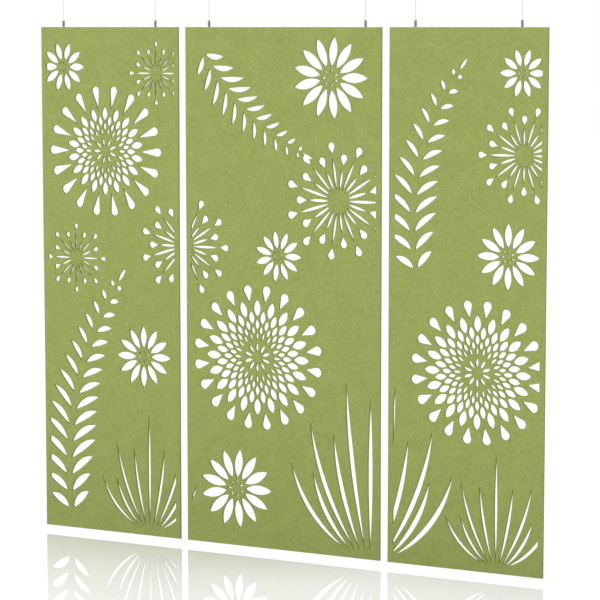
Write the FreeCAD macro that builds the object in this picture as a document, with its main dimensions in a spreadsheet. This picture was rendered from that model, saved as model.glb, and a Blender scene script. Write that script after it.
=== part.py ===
import FreeCAD, Part

import math
import os
import re

import Sketcher

# Hanging acoustic panel: three felt boards with a cut-out design, each hung from two steel cables.
# X runs along the set to the right, Y away from the viewer and Z up. The origin is on the ceiling,
# above the middle of the set, in the plane that halves the felt's thickness.

# Driving dimensions, in millimetres
SIZES = {
    # felt boards
    "felt_thickness": 12,
    "felt_height": 2438,
    "side_felt_width": 762,
    "centre_felt_width": 1016,
    "felt_spacing": 40,
    "ceiling_drop": 165,
    "hanger_inset": 125,
    "near_hanger_inset": 82,
    # cut-out design
    "uncut_border": 25,
    "thinnest_bridge": 6.5,
    "finest_cut": 6,
    # ball that ends a cable, and the socket that holds it
    "ball_radius": 2.5,
    "ball_gap": 0.2,
    "ball_bore_radius": 0.9,
    "ball_mouth_radius": 1.5,
    "throat_radius": 1.85,
    "mouth_radius": 3.2,
    "socket_depth": 4.5,
    # cable
    "cable_radius": 0.8,
    "cable_end_gap": 0.2,
    # ceiling base and cap
    "base_radius": 9,
    "base_height": 9,
    "screw_hole_radius": 2.25,
    "screw_head_radius": 4.25,
    "countersink_depth": 2,
    "cap_radius": 11,
    "cap_height": 19.5,
    "cap_rim_gap": 0.5,
    "cap_chamfer": 1,
    # barrel
    "barrel_radius": 6,
    "barrel_height": 29.5,
    "barrel_chamfer": 0.6,
    "barrel_bore_depth": 14,
    # edge stud
    "stud_radius": 2.5,
    "stud_reach": 11,
    "stud_chamfer": 0.5,
    "collar_radius": 4.5,
    "collar_height": 1.5,
    "shank_radius": 2.4,
    "shank_length": 40,
    "shank_point": 4,
    # fits
    "thread_gap": 0.05,
    "cutter_overrun": 1,
}

doc = FreeCAD.newDocument("HangingAcousticPanel")
sheet = doc.addObject("Spreadsheet::Sheet", "Sizes")
for row, (size_name, millimetres) in enumerate(SIZES.items(), start=1):
    sheet.set(f"A{row}", size_name.replace("_", " "))
    sheet.set(f"B{row}", str(millimetres))
    sheet.setAlias(f"B{row}", size_name)
doc.recompute()

WORKING_CELL = "D1"


def value(formula):
    """The number that a formula in the sheet's names comes to."""
    sheet.set(WORKING_CELL, f"={formula}")
    sheet.recompute()
    return float(sheet.get(WORKING_CELL))


def bind(thing, path, formula):
    """Tie a property, constraint or coordinate to a formula in the sheet's names."""
    thing.setExpression(path, re.sub(r"([a-z]+(?:_[a-z]+)+)", r"Sizes.\1", formula))


def place(thing, across, up):
    """Stand a piece in the plane of the felt, at a place along the set and a height."""
    bind(thing, ".Placement.Base.x", across)
    bind(thing, ".Placement.Base.z", up)


def turned(name, outline):
    """A lathe part: the closed outline of (radius, height) formulas, turned about its own Z axis."""
    body = doc.addObject("PartDesign::Body", name)
    profile = body.newObject("Sketcher::SketchObject", f"{name}_profile")
    plane = [feature for feature in body.Origin.OriginFeatures if feature.Role == "XZ_Plane"][0]
    profile.AttachmentSupport = [(plane, "")]
    profile.MapMode = "FlatFace"
    corners = [FreeCAD.Vector(value(radius), value(height), 0) for radius, height in outline]
    for index, corner in enumerate(corners):
        following = corners[(index + 1) % len(corners)]
        profile.addGeometry(Part.LineSegment(corner, following))
    for index in range(len(corners)):
        following = (index + 1) % len(corners)
        profile.addConstraint(Sketcher.Constraint("Coincident", index, 2, following, 1))
    for index, formulas in enumerate(outline):
        for kind, formula, axis in zip(("DistanceX", "DistanceY"), formulas, (-2, -1)):
            if formula == "0":
                profile.addConstraint(Sketcher.Constraint("PointOnObject", index, 1, axis))
                continue
            distance = Sketcher.Constraint(kind, -1, 1, index, 1, value(formula))
            bind(profile, f"Constraints[{profile.addConstraint(distance)}]", formula)
    turning = body.newObject("PartDesign::Revolution", f"{name}_turning")
    turning.Profile = profile
    turning.ReferenceAxis = (profile, ["V_Axis"])
    turning.Angle = 360
    body.Tip = turning
    return body


# The seat of a ball socket is a cone at 45 degrees that the ball, with its gap around it, just
# touches. These are its levels from the ball's centre towards the mouth.
socket_radius = "(ball_radius + ball_gap)"
seat_level = f"(sqrt(2) * {socket_radius} - {socket_radius})"
throat_level = f"(sqrt(2) * {socket_radius} - throat_radius)"

# Levels below the ceiling
cap_mouth = "(-cap_rim_gap - cap_height)"
top_ball_centre = f"({cap_mouth} + socket_depth)"
barrel_foot = "(-ceiling_drop + collar_height)"
foot_ball_centre = f"({barrel_foot} + barrel_height - socket_depth)"


def ceiling_base(name, across):
    """Boss that a countersunk screw holds to the ceiling. Its thread carries the cap."""
    base = turned(name, [
        ("screw_head_radius", "0"),
        ("base_radius", "0"),
        ("base_radius", "base_height"),
        ("screw_hole_radius", "base_height"),
        ("screw_hole_radius", "countersink_depth"),
    ])
    place(base, across, "-base_height")
    return base


def ceiling_cap(name, across):
    """Cup that screws up over the base. The ball sits on the cone above its flared mouth."""
    shoulder = "(cap_height + cap_rim_gap - base_height)"
    cap = turned(name, [
        ("mouth_radius", "0"),
        ("cap_radius - cap_chamfer", "0"),
        ("cap_radius", "cap_chamfer"),
        ("cap_radius", "cap_height"),
        ("base_radius + thread_gap", "cap_height"),
        ("base_radius + thread_gap", shoulder),
        (socket_radius, shoulder),
        (socket_radius, f"socket_depth - {seat_level}"),
        ("throat_radius", f"socket_depth - {throat_level}"),
    ])
    place(cap, across, cap_mouth)
    return cap


def cable_ball(name, across, up, mouth_turn):
    """Ball that ends a cable. Its bore opens out from the centre, so the cable can lean in it."""
    whole = doc.addObject("Part::Sphere", f"{name}_whole")
    bind(whole, "Radius", "ball_radius")
    bore = doc.addObject("Part::Cone", f"{name}_bore")
    bind(bore, "Radius1", "ball_bore_radius")
    bind(bore, "Radius2", "ball_mouth_radius")
    bind(bore, "Height", "ball_radius + cutter_overrun")
    bore.Placement.Rotation = FreeCAD.Rotation(FreeCAD.Vector(1, 0, 0), mouth_turn)
    ball = doc.addObject("Part::Cut", name)
    ball.Base = whole
    ball.Tool = bore
    place(ball, across, up)
    return ball


def cable(name, across):
    """Wire rope between the two balls, as its plain round envelope."""
    rope = doc.addObject("Part::Cylinder", name)
    bind(rope, "Radius", "cable_radius")
    bind(rope, "Height", f"{top_ball_centre} - {foot_ball_centre} - 2 * cable_end_gap")
    place(rope, across, f"{foot_ball_centre} + cable_end_gap")
    return rope


def barrel(name, across):
    """Sleeve that screws down on the stud. The cable's lower ball pulls up against its seat."""
    ball_height = "(barrel_height - socket_depth)"
    sleeve = turned(name, [
        ("stud_radius + thread_gap", "0"),
        ("barrel_radius - barrel_chamfer", "0"),
        ("barrel_radius", "barrel_chamfer"),
        ("barrel_radius", "barrel_height - barrel_chamfer"),
        ("barrel_radius - barrel_chamfer", "barrel_height"),
        ("mouth_radius", "barrel_height"),
        ("throat_radius", f"{ball_height} + {throat_level}"),
        (socket_radius, f"{ball_height} + {seat_level}"),
        (socket_radius, "barrel_bore_depth"),
        ("stud_radius + thread_gap", "barrel_bore_depth"),
    ])
    place(sleeve, across, barrel_foot)
    return sleeve


def edge_stud(name, across):
    """Hanger bolt: pointed shank down in the felt, collar on its edge, machine thread up."""
    collar_top = "(shank_length + collar_height)"
    stud = turned(name, [
        ("0", "0"),
        ("shank_radius", "shank_point"),
        ("shank_radius", "shank_length"),
        ("collar_radius", "shank_length"),
        ("collar_radius", collar_top),
        ("stud_radius", collar_top),
        ("stud_radius", f"{collar_top} + stud_reach - stud_chamfer"),
        ("stud_radius - stud_chamfer", f"{collar_top} + stud_reach"),
        ("0", f"{collar_top} + stud_reach"),
    ])
    place(stud, across, "-ceiling_drop - shank_length")
    return stud


# The cut-out design is one picture that runs on over the three boards. Its places are shares of
# the set's whole width and of the felt's height, measured from the top left corner, and the size
# of a plant is a share of the felt's height. Sizes within a plant are shares of the plant's.
FULL_TURN = 2 * math.pi
felt_height = value("felt_height")
set_width = value("2 * side_felt_width + centre_felt_width + 2 * felt_spacing")
thinnest_bridge = value("thinnest_bridge")


def polar(centre, reach, heading):
    """The point that far from the centre in that direction."""
    return centre + FreeCAD.Vector(reach * math.cos(heading), 0, reach * math.sin(heading))


def laid(points, root, heading):
    """Points given along and across a heading, put on the felt's face."""
    ahead = FreeCAD.Vector(math.cos(heading), 0, math.sin(heading))
    aside = FreeCAD.Vector(-math.sin(heading), 0, math.cos(heading))
    return [root + ahead * along + aside * across for along, across in points]


def leaf(root, heading, length, width, bow=0.0):
    """Leaf: two arcs that meet in points at its root and tip, bowed aside in the middle."""
    start, left, tip, right = laid(
        [(0, 0), (length / 2, bow + width / 2), (length, 0), (length / 2, bow - width / 2)], root, heading)
    outline = [Part.Arc(start, left, tip), Part.Arc(tip, right, start)]
    return Part.Face(Part.Wire([edge.toShape() for edge in outline]))


def drop(root, heading, length, width):
    """Drop: straight flanks from its point, tangent to a round head."""
    head = width / 2
    middle = length - head
    lean = head / middle
    along = middle - head * lean
    across = head * math.sqrt(1 - lean * lean)
    point, left, top, right = laid(
        [(0, 0), (along, across), (length, 0), (along, -across)], root, heading)
    outline = [Part.LineSegment(point, left), Part.Arc(left, top, right), Part.LineSegment(right, point)]
    return Part.Face(Part.Wire([edge.toShape() for edge in outline]))


def blossom(centre, radius, petals):
    """Double flower: rings of leaves, each half a step round from the last, and drops outside."""
    heart_shares = {"start": 0.075, "length": 0.135, "width": 0.042}
    ring_shares = {"first": 0.3, "last": 0.8, "length": 0.115, "width": 0.112}
    fill_share, slender_share, step_share, tuck_share, drop_width_share = 0.65, 2.1, 0.68, 0.36, 0.13
    heart_leaves = petals // 2
    cuts = []
    for index in range(heart_leaves):
        heading = FULL_TURN * (index + 0.5) / heart_leaves
        cuts.append(leaf(polar(centre, radius * heart_shares["start"], heading), heading,
                         radius * heart_shares["length"], radius * heart_shares["width"]))
    middle = radius * ring_shares["first"]
    ring = 0
    while True:
        room = FULL_TURN * middle / petals - 2 * thinnest_bridge
        width = min(fill_share * room, radius * ring_shares["width"])
        length = max(slender_share * width, radius * ring_shares["length"])
        headings = [FULL_TURN * (index + 0.5 * (ring % 2)) / petals for index in range(petals)]
        if middle + length / 2 > radius * ring_shares["last"]:
            break
        for heading in headings:
            cuts.append(leaf(polar(centre, middle - length / 2, heading), heading, length, width))
        middle += step_share * length
        ring += 1
    start = middle - tuck_share * length
    for heading in headings:
        cuts.append(drop(polar(centre, start, heading), heading, radius - start,
                         radius * drop_width_share))
    return cuts


def daisy(centre, radius, petals):
    """Single flower: one ring of wide leaves round a few small drops."""
    petal_start_share, eye_start_share, eye_length_share, eye_width_share = 0.27, 0.105, 0.105, 0.052
    eye_drops = 7
    start = radius * petal_start_share
    step = FULL_TURN * (start + radius) / 2 / petals
    cuts = []
    for index in range(petals):
        heading = FULL_TURN * index / petals
        cuts.append(leaf(polar(centre, start, heading), heading, radius - start,
                         step - 2 * thinnest_bridge))
    for index in range(eye_drops):
        heading = FULL_TURN * (index + 0.5) / eye_drops
        cuts.append(drop(polar(centre, radius * eye_start_share, heading), heading,
                         radius * eye_length_share, radius * eye_width_share))
    return cuts


def umbel(centre, radius, rays):
    """Seed head: thin rays in two lengths, each with a drop beyond its tip."""
    ray_shares = {"start": 0.18, "short_reach": 0.8, "width": 0.052, "tip_gap": 0.04}
    drop_shares = {"length": 0.205, "width": 0.13}
    cuts = []
    for index in range(rays):
        heading = FULL_TURN * index / rays
        reach = radius if index % 2 == 0 else radius * ray_shares["short_reach"]
        start = radius * ray_shares["start"]
        drop_start = reach - radius * drop_shares["length"]
        cuts.append(leaf(polar(centre, start, heading), heading,
                         drop_start - radius * ray_shares["tip_gap"] - start,
                         radius * ray_shares["width"]))
        cuts.append(drop(polar(centre, drop_start, heading), heading,
                         radius * drop_shares["length"], radius * drop_shares["width"]))
    return cuts


def fern(root, length, heading, bend, pairs, leaflet_share, leaflet_width_share):
    """Frond: pairs of leaflets that shorten along a rib bent in one arc."""
    splay = math.radians(52)
    rib_share, bow_share, young_share, tip_length_share, tip_width_share = 0.01, 0.07, 0.55, 0.4, 0.5
    first_pair_share, grown_share = 0.6, 0.25
    cuts = []

    def rib(share):
        turned_by = bend * share
        chord = 2 * length / bend * math.sin(turned_by / 2)
        return polar(root, chord, heading + turned_by / 2), heading + turned_by

    for index in range(pairs):
        share = (index + first_pair_share) / pairs
        place_on_rib, along_rib = rib(share)
        growth = young_share + (1 - young_share) * min(1, share / grown_share)
        leaflet = length * leaflet_share * (1 - share) ** young_share * growth
        width = length * leaflet_width_share * (young_share + (1 - young_share) * (1 - share))
        for side in (1, -1):
            foot = polar(place_on_rib, length * rib_share, along_rib + side * FULL_TURN / 4)
            cuts.append(leaf(foot, along_rib + side * splay, leaflet, width, -side * bow_share * leaflet))
    tip, along_rib = rib(1)
    cuts.append(leaf(tip, along_rib, length * leaflet_share * tip_length_share,
                     length * leaflet_width_share * tip_width_share))
    return cuts


def tuft(root, height, blades, spread):
    """Grass: long leaves that fan out from the lower edge and bow outwards."""
    foot_share, width_share, outer_share, inner_share, bow_share = 0.03, 0.028, 0.45, 0.18, 0.1
    cuts = []
    for index in range(blades):
        side = 2 * index / (blades - 1) - 1
        length = height * (1 - outer_share * abs(side) - inner_share * (index % 2))
        foot = polar(root, side * height * foot_share * (blades - 1) / 2, 0)
        cuts.append(leaf(foot, FULL_TURN / 4 - side * spread / 2, length, height * width_share,
                         -side * bow_share * length))
    return cuts


def at(across_share, down_share):
    """A point of the picture."""
    return FreeCAD.Vector(set_width * across_share, 0, -felt_height * down_share)


# Each plant: across, down and size as shares, and its count of petals or rays
blossom_shares = [(0.135, 0.242, 0.128, 18), (0.45, 0.63, 0.14, 20), (0.876, 0.63, 0.134, 20)]
daisy_shares = [
    (0.046, 0.078, 0.049, 10),
    (0.214, 0.644, 0.0615, 12),
    (0.595, 0.094, 0.078, 13),
    (0.406, 0.888, 0.078, 13),
    (0.931, 0.414, 0.0615, 12),
    (0.492, 0.433, 0.05, 11),
    (0.954, 0.082, 0.045, 10),
]
umbel_shares = [
    (0.301, 0.422, 0.098, 22),
    (0.244, 0.089, 0.061, 16),
    (0.071, 0.455, 0.068, 16),
    (0.611, 0.324, 0.111, 22),
    (0.958, 0.23, 0.09, 20),
]
# Each frond: across, down and length, then its heading and bend in degrees, its pairs of
# leaflets, and a leaflet's length and width as shares of the frond
fern_shares = [
    (0.057, 0.98, 0.505, 98, -42, 15, 0.165, 0.032),
    (0.336, 0.039, 0.3, -60, 36, 11, 0.21, 0.038),
    (0.763, 0.462, 0.405, 102, -48, 12, 0.17, 0.033),
]
# Each tuft: across, down and height, then its blades and spread in degrees
tuft_shares = [(0.675, 0.984, 0.355, 11, 72), (0.913, 0.984, 0.21, 9, 84), (0.225, 0.984, 0.23, 9, 80)]


def picture():
    """Every opening of the design, before the boards' borders cut into it."""
    cuts = []
    for plant, places in ((blossom, blossom_shares), (daisy, daisy_shares), (umbel, umbel_shares)):
        for across, down, size, count in places:
            cuts += plant(at(across, down), felt_height * size, count)
    for across, down, size, heading, bend, pairs, leaflet_share, leaflet_width_share in fern_shares:
        cuts += fern(at(across, down), felt_height * size, math.radians(heading), math.radians(bend),
                     pairs, leaflet_share, leaflet_width_share)
    for across, down, size, blades, spread in tuft_shares:
        cuts += tuft(at(across, down), felt_height * size, blades, math.radians(spread))
    return cuts


design = picture()


def rectangle(left, right, low, high):
    """An upright rectangular face."""
    corners = [(left, low), (right, low), (right, high), (left, high), (left, low)]
    return Part.Face(Part.makePolygon([FreeCAD.Vector(across, 0, up) for across, up in corners]))


def felt_board(name, left, width, hangers):
    """Felt board: the design cut through it, and a hole down from its top edge for each stud."""
    set_left = "(side_felt_width + felt_spacing + centre_felt_width / 2)"
    offset = FreeCAD.Vector(-value(f"{set_left} + {left}"), 0, 0)
    board_width = value(width)
    border = value("uncut_border")
    window = rectangle(border, board_width - border, -felt_height + border, -border)
    clear = value("shank_radius + thinnest_bridge")
    depth = value("shank_length + thinnest_bridge")
    studs = [value(f"{hanger} - {left}") for hanger in hangers]
    window = window.cut([rectangle(stud - clear, stud + clear, -depth, 0) for stud in studs])
    near = [cut.translated(offset) for cut in design]
    near = [cut for cut in near if cut.BoundBox.intersect(window.BoundBox)]
    openings = [face for face in window.common(near).Faces if face.Area > value("finest_cut ^ 2")]
    face = rectangle(0, board_width, -felt_height, 0).cut(openings)
    pattern = doc.addObject("Part::Feature", f"{name}_pattern")
    pattern.Shape = max(face.Faces, key=lambda piece: piece.Area)
    place(pattern, left, "-ceiling_drop")
    bind(pattern, ".Placement.Base.y", "-felt_thickness / 2")
    plate = doc.addObject("Part::Extrusion", f"{name}_plate")
    plate.Base = pattern
    plate.DirMode = "Custom"
    plate.Dir = FreeCAD.Vector(0, 1, 0)
    plate.Solid = True
    bind(plate, "LengthFwd", "felt_thickness")
    holes = []
    for side, hanger in zip(("left", "right"), hangers):
        hole = doc.addObject("Part::Cylinder", f"{name}_{side}_hole")
        bind(hole, "Radius", "shank_radius + thread_gap")
        bind(hole, "Height", "shank_length + cutter_overrun")
        place(hole, hanger, "-ceiling_drop - shank_length")
        holes.append(hole)
    both = doc.addObject("Part::MultiFuse", f"{name}_holes")
    both.Shapes = holes
    board = doc.addObject("Part::Cut", name)
    board.Base = plate
    board.Tool = both
    return board


# Each board: its left edge, its width and the insets of its two hangers
BOARDS = [
    ("left_panel", "(-centre_felt_width / 2 - felt_spacing - side_felt_width)", "side_felt_width",
     "hanger_inset", "hanger_inset"),
    ("centre_panel", "(-centre_felt_width / 2)", "centre_felt_width", "hanger_inset", "near_hanger_inset"),
    ("right_panel", "(centre_felt_width / 2 + felt_spacing)", "side_felt_width",
     "hanger_inset", "hanger_inset"),
]

sub_parts = []
hanger_places = []
for name, left, width, left_inset, right_inset in BOARDS:
    hangers = [f"({left} + {left_inset})", f"({left} + {width} - {right_inset})"]
    sub_parts.append(felt_board(name, left, width, hangers))
    hanger_places += hangers

for number, across in enumerate(hanger_places, start=1):
    sub_parts.append(ceiling_base(f"ceiling_base_{number}", across))
    sub_parts.append(ceiling_cap(f"ceiling_cap_{number}", across))
    sub_parts.append(cable_ball(f"top_ball_{number}", across, top_ball_centre, 180))
    sub_parts.append(cable(f"cable_{number}", across))
    sub_parts.append(cable_ball(f"foot_ball_{number}", across, foot_ball_centre, 0))
    sub_parts.append(barrel(f"barrel_{number}", across))
    sub_parts.append(edge_stud(f"edge_stud_{number}", across))

sheet.clear(WORKING_CELL)
doc.recompute()

failed = [thing.Name for thing in doc.Objects if {"Invalid", "Error"} & set(thing.State)]
if failed:
    raise RuntimeError(f"not made: {', '.join(failed)}")
for piece in sub_parts:
    if piece.Shape.isNull() or not piece.Shape.isValid():
        raise RuntimeError(f"{piece.Label} has no valid shape")

os.makedirs("parts", exist_ok=True)
for piece in sub_parts:
    piece.Shape.exportStep(f"parts/{piece.Label}.step")
print(f"{len(sub_parts)} sub-parts")
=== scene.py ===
"""Hanging acoustic panel: three felt boards with a cut-out plant design, hung on steel cables.

Every length is in metres, in the frame of the construction model: X along the set, Y away from
the viewer, Z up, with the origin on the ceiling.
"""

import math

import bmesh
import bpy
import numpy as np
from bpy.props import FloatProperty, FloatVectorProperty, PointerProperty
from bpy.types import Operator, Panel, PropertyGroup
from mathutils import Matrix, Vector
from mathutils.geometry import delaunay_2d_cdt


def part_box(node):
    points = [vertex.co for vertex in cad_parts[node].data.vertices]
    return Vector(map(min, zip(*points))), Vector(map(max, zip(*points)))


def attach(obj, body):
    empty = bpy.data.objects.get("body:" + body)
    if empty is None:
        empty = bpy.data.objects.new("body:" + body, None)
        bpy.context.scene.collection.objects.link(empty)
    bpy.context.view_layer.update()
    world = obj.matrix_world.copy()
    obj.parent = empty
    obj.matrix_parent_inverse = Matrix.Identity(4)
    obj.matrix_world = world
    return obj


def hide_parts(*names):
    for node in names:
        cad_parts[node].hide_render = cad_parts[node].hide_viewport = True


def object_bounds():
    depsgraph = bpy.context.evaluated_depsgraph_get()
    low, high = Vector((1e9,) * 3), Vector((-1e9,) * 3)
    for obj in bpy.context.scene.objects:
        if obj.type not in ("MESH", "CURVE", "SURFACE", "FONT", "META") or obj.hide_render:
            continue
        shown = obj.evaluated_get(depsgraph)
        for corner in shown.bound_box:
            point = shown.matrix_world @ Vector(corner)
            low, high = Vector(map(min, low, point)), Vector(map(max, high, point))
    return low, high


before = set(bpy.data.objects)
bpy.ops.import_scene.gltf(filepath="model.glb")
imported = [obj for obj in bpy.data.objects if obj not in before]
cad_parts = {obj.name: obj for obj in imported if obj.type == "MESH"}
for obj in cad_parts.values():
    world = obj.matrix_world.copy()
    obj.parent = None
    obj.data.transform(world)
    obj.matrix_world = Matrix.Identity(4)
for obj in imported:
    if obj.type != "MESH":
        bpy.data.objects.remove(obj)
cad_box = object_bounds()

bl_info = {
    "name": "Hanging acoustic panel",
    "version": (1, 0, 0),
    "blender": (4, 5, 0),
    "location": "View3D > Sidebar > Acoustic panel",
    "description": "Felt boards, wire ropes and turned fittings round the construction model",
    "category": "Object",
}

MM = 0.001
# Points that lie closer together are one, and a wall's points stand off it by less
WELD = 0.01 * MM
WALL_TOLERANCE = 0.02 * MM
HANGERS = range(1, 7)
# Each board's node, with its piece and its body
BOARDS = {
    "left_panel": ("left_felt_board", "left_board"),
    "centre_panel": ("centre_felt_board", "centre_board"),
    "right_panel": ("right_felt_board", "right_board"),
}
# The body that each hanger carries: the hangers stand in pairs along the set
BODY_OF_HANGER = {hanger: list(BOARDS.values())[(hanger - 1) // 2][1] for hanger in HANGERS}


# Colours and nodes

def linear(hex_colour):
    """An sRGB hex colour as linear red, green, blue and alpha."""
    channels = np.array([int(hex_colour[start:start + 2], 16) for start in (1, 3, 5)]) / 255
    low = channels / 12.92
    high = ((channels + 0.055) / 1.055) ** 2.4
    return (*np.where(channels <= 0.04045, low, high).tolist(), 1.0)


def per_metre(millimetres):
    """The scale of a texture whose pattern has that real size."""
    return 1 / (millimetres * MM)


def add_node(tree, kind, inputs=None, **settings):
    """Add a node with its settings. An input takes a value or another node's output."""
    node = tree.nodes.new(kind)
    for name, setting in settings.items():
        setattr(node, name, setting)
    for name, source in (inputs or {}).items():
        if isinstance(source, bpy.types.NodeSocket):
            tree.links.new(source, node.inputs[name])
        else:
            node.inputs[name].default_value = source
    return node


def new_material(name):
    """An empty node material with its output."""
    material = bpy.data.materials.new(name)
    material.use_nodes = True
    material.node_tree.nodes.clear()
    return material, material.node_tree, add_node(material.node_tree, "ShaderNodeOutputMaterial")


def colour_property(name, description, hex_colour):
    """A colour that the sidebar shows, given in sRGB hex."""
    return FloatVectorProperty(name=name, description=description, subtype="COLOR", size=4,
                               min=0, max=1, default=linear(hex_colour))


def length_property(name, description, millimetres):
    """A length that the sidebar shows, given in millimetres."""
    return FloatProperty(name=name, description=description, unit="LENGTH", min=0,
                         precision=5, default=millimetres * MM)


# Meshes

def make_piece(name, points, faces, material_of_face=None, crease=math.radians(35)):
    """A mesh object at the origin from a table of points and groups of faces with the same number
    of corners. Points that lie on each other are welded, which closes seams and poles."""
    mesh = bpy.data.meshes.new(name)
    corners = np.concatenate([group.ravel() for group in faces])
    sizes = np.concatenate([np.full(len(group), group.shape[1]) for group in faces])
    mesh.vertices.add(len(points))
    mesh.vertices.foreach_set("co", np.asarray(points, np.float32).ravel())
    mesh.loops.add(len(corners))
    mesh.loops.foreach_set("vertex_index", corners.astype(np.int32))
    mesh.polygons.add(len(sizes))
    mesh.polygons.foreach_set("loop_start", (np.cumsum(sizes) - sizes).astype(np.int32))
    if material_of_face is not None:
        mesh.polygons.foreach_set("material_index", material_of_face.astype(np.int32))
    mesh.update(calc_edges=True)
    welded = bmesh.new()
    welded.from_mesh(mesh)
    bmesh.ops.remove_doubles(welded, verts=welded.verts, dist=WELD)
    loose = [vertex for vertex in welded.verts if not vertex.link_faces]
    bmesh.ops.delete(welded, geom=loose, context="VERTS")
    welded.to_mesh(mesh)
    welded.free()
    mesh.polygons.foreach_set("use_smooth", np.ones(len(mesh.polygons), bool))
    mesh.set_sharp_from_angle(angle=crease)
    piece = bpy.data.objects.new(name, mesh)
    bpy.context.scene.collection.objects.link(piece)
    return piece


def grid_faces(rows, columns, rows_close=False, columns_close=True):
    """Quads of a grid of points that are numbered row by row."""
    row = np.arange(rows if rows_close else rows - 1)[:, None]
    column = np.arange(columns if columns_close else columns - 1)[None, :]
    next_row = (row + 1) % rows
    next_column = (column + 1) % columns
    corners = (row * columns + column, row * columns + next_column,
               next_row * columns + next_column, next_row * columns + column)
    return np.stack([np.broadcast_to(corner, (row.size, column.size)) for corner in corners],
                    axis=-1).reshape(-1, 4)


def softened(corners, softness, closed=True, steps=3):
    """A profile with its corners softened: each corner C becomes the parabola
    (1-t)^2 A + 2t(1-t) C + t^2 B, where A and B lie on its two sides, softness away from C or two
    fifths of the side, whichever is less."""
    corners = np.asarray(corners, float)
    before = np.roll(corners, 1, axis=0) - corners
    after = np.roll(corners, -1, axis=0) - corners
    ends = []
    for side in (before, after):
        long = np.linalg.norm(side, axis=1, keepdims=True)
        ends.append(corners + side / long * np.minimum(softness, 0.4 * long))
    share = np.linspace(0, 1, steps + 1)[None, :, None]
    start, middle, end = (point[:, None, :] for point in (ends[0], corners, ends[1]))
    curve = (1 - share) ** 2 * start + 2 * share * (1 - share) * middle + share ** 2 * end
    if closed:
        return curve.reshape(-1, 2)
    return np.vstack([corners[:1], curve[1:-1].reshape(-1, 2), corners[-1:]])


def points_along(start, step, longest, chosen=True):
    """Points along segments, each of which runs from its start by its step. Chosen segments are
    cut in equal parts up to that length, and each point starts a part. Also the number of the
    first point of each segment."""
    parts = np.ceil(np.linalg.norm(step, axis=1) / longest).astype(int)
    count = np.where(chosen, parts, 1)
    first = np.cumsum(count) - count
    segment = np.repeat(np.arange(len(count)), count)
    share = (np.arange(count.sum()) - first[segment]) / count[segment]
    return start[segment] + step[segment] * share[:, None], first


def divided(profile, low, high, longest):
    """A profile whose segments between two heights are cut in equal parts up to that length."""
    inside = (profile[:-1, 1] > low - longest) & (profile[1:, 1] < high + longest)
    points, _ = points_along(profile[:-1], np.diff(profile, axis=0), longest, inside)
    return np.vstack([points, profile[-1:]])


def turned_surface(profile, sides, relief=None, closed=True):
    """A lathe surface about Z: the point of row i and column j has the angle a = 2 pi j / sides,
    the profile's height z_i and the radius r_i less relief(a, r_i, z_i). The profile runs up on
    the outside, so that the faces point outwards."""
    radius, height = profile[:, :1], profile[:, 1:]
    angle = np.linspace(0, 2 * math.pi, sides, endpoint=False)[None, :]
    if relief is not None:
        radius = radius - relief(angle, radius, height)
    points = np.stack([radius * np.cos(angle), radius * np.sin(angle),
                       height + 0 * angle], axis=-1)
    return points.reshape(-1, 3), grid_faces(len(profile), sides, rows_close=closed)


def ridge(phase):
    """A triangle wave: 0 at whole numbers and 1 halfway between them."""
    return 1 - np.abs(2 * (phase % 1) - 1)


def fade(height, low, high, run_out):
    """1 between two heights, falling to 0 over the run-out inside each of them."""
    return np.clip(np.minimum(height - low, high - height) / run_out, 0, 1)


def knurl(low, high, outer, diamonds, depth):
    """Relief of a diamond knurl between two heights of the outer wall: two sets of V grooves wind
    round it, one each way, and the depth at a point is the deeper of the two."""
    lead = 2 * math.pi * outer / diamonds

    def relief(angle, radius, height):
        around = diamonds * angle / (2 * math.pi)
        crest = np.minimum(ridge(around + height / lead), ridge(around - height / lead))
        on_wall = radius > outer - WALL_TOLERANCE
        return depth * (1 - crest) * fade(height, low, high, lead / 2) * on_wall

    return relief


def knurl_top(radius, diamonds, low, most):
    """The level at which the last whole diamond of a knurl ends. A diamond is as high as it is
    wide."""
    pitch = 2 * math.pi * radius / diamonds
    return low + math.floor((most - low) / pitch) * pitch


def thread(low, high, pitch, depth):
    """Relief of a V thread between two heights: one groove that climbs a pitch each turn."""

    def relief(angle, radius, height):
        groove = 1 - ridge(height / pitch - angle / (2 * math.pi))
        return depth * groove * fade(height, low, high, pitch)

    return relief


def seat(piece, node, body, slot, *materials):
    """Give a piece its materials and body, and let it stand for its node."""
    for material in materials:
        piece.data.materials.append(material)
    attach(piece, body)
    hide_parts(node)


def finish_node(node, material):
    """Give a piece that the construction model has whole its material."""
    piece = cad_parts[node]
    piece.data.materials.clear()
    piece.data.materials.append(material)
    return piece


def measure(node):
    """Where a node's upright axis stands along the set, its lowest and highest level, and its
    radius."""
    low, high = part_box(node)
    return (low.x + high.x) / 2, low.z, high.z, (high.x - low.x) / 2


def turned_piece(name, node, surface, *settings):
    """A turned piece that stands where its node does. Its surface is worked out from the node's
    radius and height in millimetres."""
    across, foot, top, radius = measure(node)
    points, faces = surface(radius / MM, (top - foot) / MM, *settings)
    return make_piece(name, points + (across, 0, foot), [faces])


# Felt boards

# The most that two points of a board's mesh stand apart, so that it can bend with the waviness
MESH_PITCH = 15 * MM
# Rings of points round a softened edge
EDGE_RINGS = 4
# The waviness is a bow across and down the board and a roll down it: their wavelengths and shares,
# and the stiff stretch at the top edge and the one below it in which they grow
BOW_ACROSS, BOW_DOWN, ROLL_DOWN = 1.9, 3.1, 1.4
BOW_SHARE, ROLL_SHARE = 0.6, 0.4
STIFF_TOP, GROWTH = 0.05, 0.6


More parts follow.
